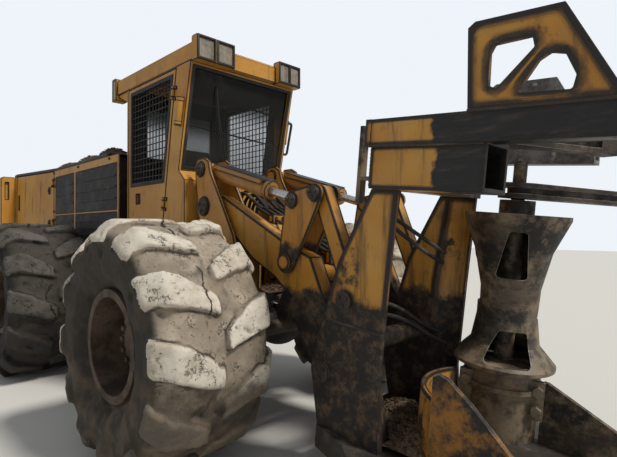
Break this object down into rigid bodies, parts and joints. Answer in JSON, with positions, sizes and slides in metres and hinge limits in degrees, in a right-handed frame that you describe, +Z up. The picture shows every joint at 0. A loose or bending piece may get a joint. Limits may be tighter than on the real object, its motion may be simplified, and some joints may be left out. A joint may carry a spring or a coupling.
{
  "type": "wheeled feller buncher",
  "caption": "Articulated wheeled feller buncher with a lift boom and an upright disc-saw felling head with collecting arms.",
  "frame": {"origin": "on the ground, under the middle of the whole machine", "axes": "+X forward towards the felling head, +Y to the machine's left, +Z up"},
  "size_m": [8.0939, 3.1, 3.2631],
  "materials": {
    "yellow_paint": "worn satin paint with grime",
    "black_paint": "worn satin paint",
    "dark_steel": "greasy and rusty",
    "bare_steel": "polished by wear, rust in places",
    "chrome_rod": "polished",
    "tyre_rubber": "worn and dusty",
    "rim_paint": "rusty and muddy",
    "cab_glass": "dusty tinted glass",
    "lamp_glass": "clear lamp glass",
    "seat_fabric": "woven",
    "console_plastic": "moulded"
  },
  "bodies": {
    "front_body": {"front_frame": "dark_steel", "front_axle": "dark_steel", "boom_towers": "yellow_paint", "cab_body": "yellow_paint", "cab_glass": "cab_glass", "cab_roof": "yellow_paint", "roof_lamps": "lamp_glass", "seat": "seat_fabric", "consoles": "console_plastic", "steps_and_grab": "dark_steel"},
    "rear_body": {"rear_frame": "dark_steel", "rear_axle": "dark_steel", "engine_block": "dark_steel", "counterweight": "dark_steel", "hood_top": "yellow_paint", "body_sill": "yellow_paint", "corner_posts": "yellow_paint", "bay_frames": "black_paint", "bay_screens": "black_paint", "rear_grille": "black_paint", "exhaust": "dark_steel"},
    "cab_door_right": {"cab_door_right": "yellow_paint", "door_screen_right": "black_paint"},
    "cab_door_left": {"cab_door_left": "yellow_paint", "door_screen_left": "black_paint"},
    "engine_door_right": {"engine_door_right": "yellow_paint"},
    "engine_door_left": {"engine_door_left": "yellow_paint"},
    "boom": {"boom": "yellow_paint", "boom_lines": "dark_steel"},
    "tilt_levers": {"tilt_levers": "yellow_paint"},
    "tilt_links": {"tilt_links": "yellow_paint"},
    "tilt_barrels": {"tilt_barrels": "yellow_paint"},
    "tilt_rods": {"tilt_rods": "chrome_rod"},
    "lift_barrels": {"lift_barrels": "black_paint"},
    "lift_rods": {"lift_rods": "chrome_rod"},
    "head": {"head_posts": "yellow_paint", "head_top_frame": "yellow_paint", "horns": "yellow_paint", "arm_column": "bare_steel", "arm_motor_drum": "bare_steel", "saw_housing": "dark_steel", "pocket_collar": "dark_steel", "head_wings": "bare_steel", "hose_guide": "bare_steel"},
    "saw_disc": {"saw_disc": "bare_steel"},
    "collecting_arm": {"collecting_arm": "black_paint"},
    "clamp_arm": {"clamp_arm": "black_paint"},
    "steer_barrel_left": {"steer_barrel_left": "black_paint"},
    "steer_rod_left": {"steer_rod_left": "chrome_rod"},
    "steer_barrel_right": {"steer_barrel_right": "black_paint"},
    "steer_rod_right": {"steer_rod_right": "chrome_rod"},
    "wheel_front_right": {"tyre_front_right": "tyre_rubber", "rim_front_right": "rim_paint"},
    "wheel_front_left": {"tyre_front_left": "tyre_rubber", "rim_front_left": "rim_paint"},
    "wheel_rear_right": {"tyre_rear_right": "tyre_rubber", "rim_rear_right": "rim_paint"},
    "wheel_rear_left": {"tyre_rear_left": "tyre_rubber", "rim_rear_left": "rim_paint"}
  },
  "joints": [
    {"name": "steering", "type": "hinge", "parent": "front_body", "child": "rear_body", "pos_m": [-0.17204, 0, 1.18812], "axis": [0, 0, 1], "range_deg": [-38, 38]},
    {"name": "spin_front_right", "type": "hinge", "parent": "front_body", "child": "wheel_front_right", "pos_m": [1.30296, -1.12, 0.84812], "axis": [0, 1, 0], "continuous": true},
    {"name": "spin_front_left", "type": "hinge", "parent": "front_body", "child": "wheel_front_left", "pos_m": [1.30296, 1.12, 0.84812], "axis": [0, 1, 0], "continuous": true},
    {"name": "spin_rear_right", "type": "hinge", "parent": "rear_body", "child": "wheel_rear_right", "pos_m": [-1.64704, -1.12, 0.84812], "axis": [0, 1, 0], "continuous": true},
    {"name": "spin_rear_left", "type": "hinge", "parent": "rear_body", "child": "wheel_rear_left", "pos_m": [-1.64704, 1.12, 0.84812], "axis": [0, 1, 0], "continuous": true},
    {"name": "boom_lift", "type": "hinge", "parent": "front_body", "child": "boom", "pos_m": [0.93296, 0, 1.80812], "axis": [0, -1, 0], "range_deg": [0, 30]},
    {"name": "head_tilt", "type": "hinge", "parent": "boom", "child": "head", "pos_m": [2.30296, 0, 0.68812], "axis": [0, 1, 0], "range_deg": [-10, 20]},
    {"name": "saw_spin", "type": "hinge", "parent": "head", "child": "saw_disc", "pos_m": [3.03874, 0, 0.19132], "axis": [0.0958, 0, 0.9954], "continuous": true},
    {"name": "collecting_arm_swing", "type": "hinge", "parent": "head", "child": "collecting_arm", "pos_m": [3.17927, 0.45, 1.85953], "axis": [0.0958, 0, 0.9954], "range_deg": [-120, 0]},
    {"name": "clamp_arm_swing", "type": "hinge", "parent": "head", "child": "clamp_arm", "pos_m": [3.24401, -0.335, 2.1145], "axis": [0.0958, 0, 0.9954], "range_deg": [-50, 0]},
    {"name": "cab_door_right_swing", "type": "hinge", "parent": "front_body", "child": "cab_door_right", "pos_m": [0.49196, -0.616, 2.39812], "axis": [0.1742, 0, 0.9847], "range_deg": [0, 75]},
    {"name": "cab_door_left_swing", "type": "hinge", "parent": "front_body", "child": "cab_door_left", "pos_m": [0.49196, 0.616, 2.39812], "axis": [-0.1742, 0, -0.9847], "range_deg": [0, 75]},
    {"name": "engine_door_right_swing", "type": "hinge", "parent": "rear_body", "child": "engine_door_right", "pos_m": [-2.54848, -0.67643, 1.99812], "axis": [0, 0, 1], "range_deg": [0, 80]},
    {"name": "engine_door_left_swing", "type": "hinge", "parent": "rear_body", "child": "engine_door_left", "pos_m": [-2.54848, 0.67643, 1.99812], "axis": [0, 0, -1], "range_deg": [0, 80]},
    {"name": "lift_barrel_turn", "type": "hinge", "parent": "front_body", "child": "lift_barrels", "pos_m": [0.90296, 0, 1.17812], "axis": [0, -1, 0], "range_deg": [-0.56, 28.48]},
    {"name": "lift_rod_slide", "type": "slide", "parent": "lift_barrels", "child": "lift_rods", "axis": [0.9867, 0, -0.1627], "range_m": [-0.0065, 0.3304]},
    {"name": "tilt_barrel_turn", "type": "hinge", "parent": "front_body", "child": "tilt_barrels", "pos_m": [0.88296, 0, 2.12812], "axis": [0, -1, 0], "range_deg": [-0.57, 28.93]},
    {"name": "tilt_rod_slide", "type": "slide", "parent": "tilt_barrels", "child": "tilt_rods", "axis": [0.9615, 0, -0.2747], "range_m": [-0.1681, 0.0033]},
    {"name": "lever_turn", "type": "hinge", "parent": "boom", "child": "tilt_levers", "pos_m": [1.93296, 0, 1.37812], "axis": [0, 1, 0], "range_deg": [-8.92, 17.33]},
    {"name": "link_turn", "type": "hinge", "parent": "tilt_levers", "child": "tilt_links", "pos_m": [2.21796, 0, 1.84812], "axis": [0, 1, 0], "range_deg": [-19.9, 10.24]},
    {"name": "steer_barrel_left_turn", "type": "hinge", "parent": "front_body", "child": "steer_barrel_left", "pos_m": [0.55296, 0.33, 0.95812], "axis": [0, 0, 1], "range_deg": [-4.33, 4.33]},
    {"name": "steer_rod_left_slide", "type": "slide", "parent": "steer_barrel_left", "child": "steer_rod_left", "axis": [-0.9997, -0.0235, 0], "range_m": [-0.2052, 0.2052]},
    {"name": "steer_barrel_right_turn", "type": "hinge", "parent": "front_body", "child": "steer_barrel_right", "pos_m": [0.55296, -0.33, 0.95812], "axis": [0, 0, 1], "range_deg": [-4.33, 4.33]},
    {"name": "steer_rod_right_slide", "type": "slide", "parent": "steer_barrel_right", "child": "steer_rod_right", "axis": [-0.9997, 0.0235, 0], "range_m": [-0.2052, 0.2052]}
  ],
  "couplings": [
    {"joint": "lift_barrel_turn", "follows": "boom_lift", "ratio": 0.93062},
    {"joint": "lift_rod_slide", "follows": "boom_lift", "m_per_rad": 0.61855},
    {"joint": "tilt_barrel_turn", "follows": "boom_lift", "ratio": 0.94535},
    {"joint": "tilt_rod_slide", "follows": "boom_lift", "m_per_rad": -0.31472},
    {"joint": "lever_turn", "follows": "head_tilt", "ratio": 0.84125},
    {"joint": "link_turn", "follows": "head_tilt", "ratio": -0.96626},
    {"joint": "steer_barrel_left_turn", "follows": "steering", "ratio": 0.10945},
    {"joint": "steer_rod_left_slide", "follows": "steering", "m_per_rad": 0.29749},
    {"joint": "steer_barrel_right_turn", "follows": "steering", "ratio": 0.10945},
    {"joint": "steer_rod_right_slide", "follows": "steering", "m_per_rad": -0.29749}
  ]
}
